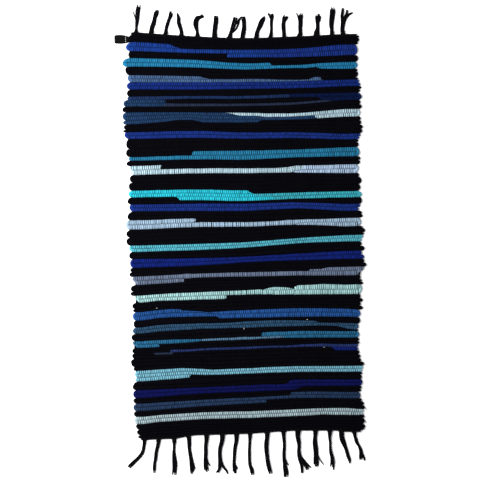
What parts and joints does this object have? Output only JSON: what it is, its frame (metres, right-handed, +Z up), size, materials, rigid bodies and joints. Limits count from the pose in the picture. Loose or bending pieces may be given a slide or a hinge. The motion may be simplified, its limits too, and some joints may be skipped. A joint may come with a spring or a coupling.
{
  "type": "handwoven rag rug floor mat",
  "caption": "Flat oblong rag-woven floor mat with raised cross ribs, scalloped selvedges and a knotted fringe at each end.",
  "frame": {"origin": "on the flat underside, near the middle of the woven cloth", "axes": "+Z up from the floor, +Y along the rug's length towards its far fringe, +X across it to the right"},
  "size_m": [0.636, 1.2123, 0.0094],
  "materials": {
    "rag_cloth": "matt woven cotton rags in black, blues, teal and white",
    "warp_yarn": "matt black cotton yarn",
    "tab_ribbon": "black woven ribbon with a faint sheen"
  },
  "bodies": {
    "root": {"woven_mat": "rag_cloth", "fringe_top": "warp_yarn", "fringe_bottom": "warp_yarn", "corner_tab": "tab_ribbon"}
  },
  "joints": []
}
